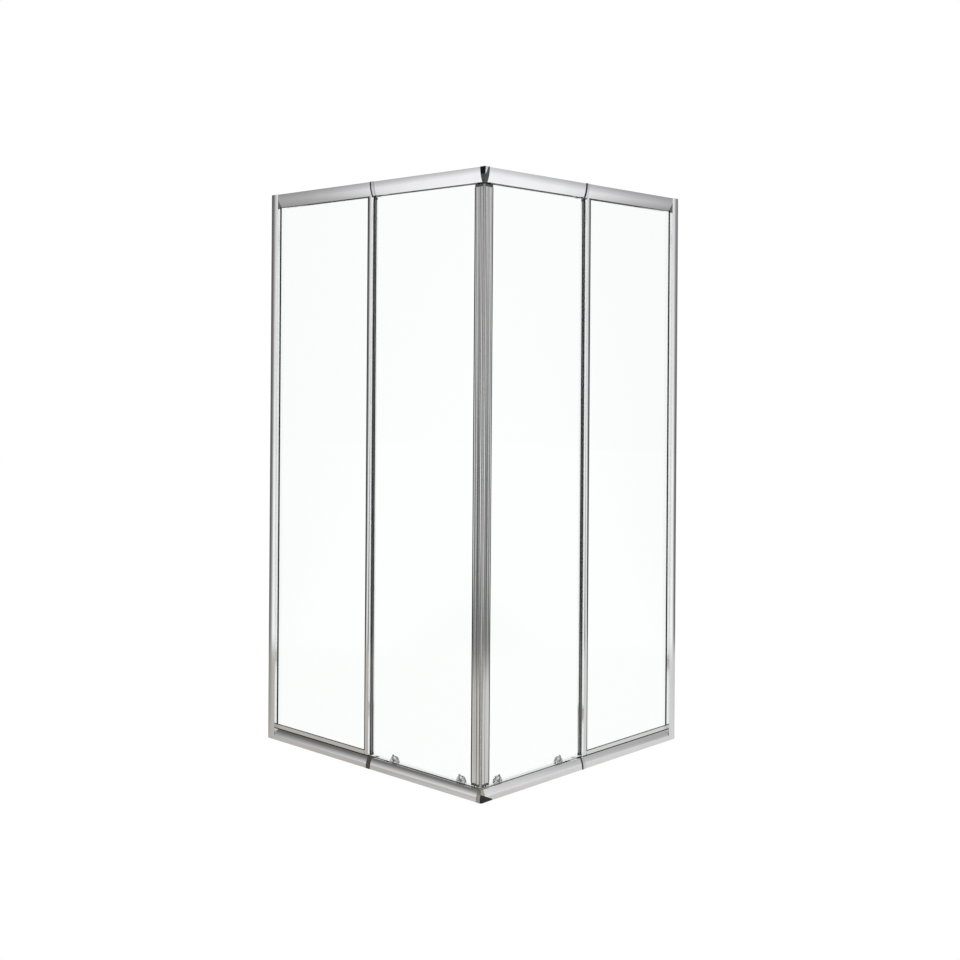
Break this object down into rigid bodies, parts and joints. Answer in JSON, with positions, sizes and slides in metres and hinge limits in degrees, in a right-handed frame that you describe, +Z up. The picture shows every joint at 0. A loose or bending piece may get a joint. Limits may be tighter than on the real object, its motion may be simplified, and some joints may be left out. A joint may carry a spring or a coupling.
{
  "type": "corner shower enclosure",
  "caption": "Square corner-entry shower enclosure in clear glass and bright aluminium, with sliding doors that meet at the outer corner.",
  "frame": {"origin": "on the floor, midway along both sides, so it is the centre of the square that the enclosure fills", "axes": "+Z up; the left side lies along X at -Y and ends at the outer corner at +X; the right side lies along Y at +X and starts from that corner; the walls are at -X and +Y"},
  "size_m": [0.985, 0.985, 1.85],
  "materials": {
    "bright_aluminium": "polished and bright anodised extrusion",
    "chrome_plastic": "chromed moulding",
    "clear_glass": "clear toughened safety glass",
    "clear_seal": "translucent soft PVC",
    "magnet_seal": "white soft PVC with a magnetic strip inside",
    "dark_plastic": "moulded, fine grain",
    "clear_plastic": "clear acrylic moulding",
    "grey_plastic": "moulded, satin",
    "wheel_plastic": "turned acetal",
    "stainless_steel": "machined",
    "spring_steel": "drawn wire",
    "black_rubber": "matt"
  },
  "bodies": {
    "root": {"left_wall_channel": "bright_aluminium", "right_wall_channel": "bright_aluminium", "left_fixed_stile": "bright_aluminium", "right_fixed_stile": "bright_aluminium", "left_fixed_upright": "bright_aluminium", "right_fixed_upright": "bright_aluminium", "left_fixed_sill": "bright_aluminium", "right_fixed_sill": "bright_aluminium", "left_fixed_glass": "clear_glass", "right_fixed_glass": "clear_glass", "left_gasket": "clear_seal", "right_gasket": "clear_seal", "left_top_rail_wall": "bright_aluminium", "right_top_rail_wall": "bright_aluminium", "left_top_rail_door": "bright_aluminium", "right_top_rail_door": "bright_aluminium", "left_bottom_rail_wall": "bright_aluminium", "right_bottom_rail_wall": "bright_aluminium", "left_bottom_rail_door": "bright_aluminium", "right_bottom_rail_door": "bright_aluminium", "rail_joiners": "chrome_plastic", "top_corner": "dark_plastic", "bottom_corner": "chrome_plastic", "frame_screws": "stainless_steel", "door_stops": "black_rubber", "upright_seals": "clear_seal"},
    "left_door": {"left_door_glass": "clear_glass", "left_lead_profile": "bright_aluminium", "left_trail_profile": "bright_aluminium", "left_magnet_seal": "magnet_seal", "left_drip_seal": "clear_seal", "left_end_caps": "dark_plastic", "left_top_carriers": "dark_plastic", "left_roller_bolts": "stainless_steel", "left_bottom_housings": "clear_plastic", "left_spring_1": "spring_steel", "left_spring_2": "spring_steel"},
    "right_door": {"right_door_glass": "clear_glass", "right_lead_profile": "bright_aluminium", "right_trail_profile": "bright_aluminium", "right_magnet_seal": "magnet_seal", "right_drip_seal": "clear_seal", "right_end_caps": "dark_plastic", "right_top_carriers": "dark_plastic", "right_roller_bolts": "stainless_steel", "right_bottom_housings": "clear_plastic", "right_spring_1": "spring_steel", "right_spring_2": "spring_steel"},
    "left_top_wheel_1": {"left_top_wheel_1": "wheel_plastic"},
    "left_top_wheel_2": {"left_top_wheel_2": "wheel_plastic"},
    "right_top_wheel_1": {"right_top_wheel_1": "wheel_plastic"},
    "right_top_wheel_2": {"right_top_wheel_2": "wheel_plastic"},
    "left_bottom_wheel_1": {"left_bottom_wheel_1": "wheel_plastic"},
    "left_bottom_wheel_2": {"left_bottom_wheel_2": "wheel_plastic"},
    "right_bottom_wheel_1": {"right_bottom_wheel_1": "wheel_plastic"},
    "right_bottom_wheel_2": {"right_bottom_wheel_2": "wheel_plastic"},
    "left_button_1": {"left_button_1": "grey_plastic"},
    "left_button_2": {"left_button_2": "grey_plastic"},
    "right_button_1": {"right_button_1": "grey_plastic"},
    "right_button_2": {"right_button_2": "grey_plastic"}
  },
  "joints": [
    {"name": "left_door_slide", "type": "slide", "parent": "root", "child": "left_door", "axis": [-1, 0, 0], "range_m": [0, 0.42]},
    {"name": "left_top_wheel_1_spin", "type": "hinge", "parent": "left_door", "child": "left_top_wheel_1", "pos_m": [0.0975, -0.451, 1.8257], "axis": [0, 1, 0], "range_deg": [-2310, 0]},
    {"name": "left_button_1_press", "type": "slide", "parent": "left_door", "child": "left_button_1", "axis": [0, 0, -1], "range_m": [0, 0.004], "stiffness_N_per_m": 600, "springref_m": -0.004, "deforming": ["left_spring_1"]},
    {"name": "left_bottom_wheel_1_spin", "type": "hinge", "parent": "left_button_1", "child": "left_bottom_wheel_1", "pos_m": [0.0905, -0.451, 0.0163], "axis": [0, 1, 0], "range_deg": [0, 3230]},
    {"name": "left_top_wheel_2_spin", "type": "hinge", "parent": "left_door", "child": "left_top_wheel_2", "pos_m": [0.3825, -0.451, 1.8257], "axis": [0, 1, 0], "range_deg": [-2310, 0]},
    {"name": "left_button_2_press", "type": "slide", "parent": "left_door", "child": "left_button_2", "axis": [0, 0, -1], "range_m": [0, 0.004], "stiffness_N_per_m": 600, "springref_m": -0.004, "deforming": ["left_spring_2"]},
    {"name": "left_bottom_wheel_2_spin", "type": "hinge", "parent": "left_button_2", "child": "left_bottom_wheel_2", "pos_m": [0.3755, -0.451, 0.0163], "axis": [0, 1, 0], "range_deg": [0, 3230]},
    {"name": "right_door_slide", "type": "slide", "parent": "root", "child": "right_door", "axis": [0, 1, 0], "range_m": [0, 0.42]},
    {"name": "right_top_wheel_1_spin", "type": "hinge", "parent": "right_door", "child": "right_top_wheel_1", "pos_m": [0.451, -0.0975, 1.8257], "axis": [1, 0, 0], "range_deg": [-2310, 0]},
    {"name": "right_button_1_press", "type": "slide", "parent": "right_door", "child": "right_button_1", "axis": [0, 0, -1], "range_m": [0, 0.004], "stiffness_N_per_m": 600, "springref_m": -0.004, "deforming": ["right_spring_1"]},
    {"name": "right_bottom_wheel_1_spin", "type": "hinge", "parent": "right_button_1", "child": "right_bottom_wheel_1", "pos_m": [0.451, -0.0905, 0.0163], "axis": [1, 0, 0], "range_deg": [0, 3230]},
    {"name": "right_top_wheel_2_spin", "type": "hinge", "parent": "right_door", "child": "right_top_wheel_2", "pos_m": [0.451, -0.3825, 1.8257], "axis": [1, 0, 0], "range_deg": [-2310, 0]},
    {"name": "right_button_2_press", "type": "slide", "parent": "right_door", "child": "right_button_2", "axis": [0, 0, -1], "range_m": [0, 0.004], "stiffness_N_per_m": 600, "springref_m": -0.004, "deforming": ["right_spring_2"]},
    {"name": "right_bottom_wheel_2_spin", "type": "hinge", "parent": "right_button_2", "child": "right_bottom_wheel_2", "pos_m": [0.451, -0.3755, 0.0163], "axis": [1, 0, 0], "range_deg": [0, 3230]}
  ],
  "couplings": [
    {"joint": "left_top_wheel_1_spin", "follows": "left_door_slide", "rad_per_m": -95.238},
    {"joint": "left_bottom_wheel_1_spin", "follows": "left_door_slide", "rad_per_m": 133.33},
    {"joint": "left_top_wheel_2_spin", "follows": "left_door_slide", "rad_per_m": -95.238},
    {"joint": "left_bottom_wheel_2_spin", "follows": "left_door_slide", "rad_per_m": 133.33},
    {"joint": "right_top_wheel_1_spin", "follows": "right_door_slide", "rad_per_m": -95.238},
    {"joint": "right_bottom_wheel_1_spin", "follows": "right_door_slide", "rad_per_m": 133.33},
    {"joint": "right_top_wheel_2_spin", "follows": "right_door_slide", "rad_per_m": -95.238},
    {"joint": "right_bottom_wheel_2_spin", "follows": "right_door_slide", "rad_per_m": 133.33}
  ]
}
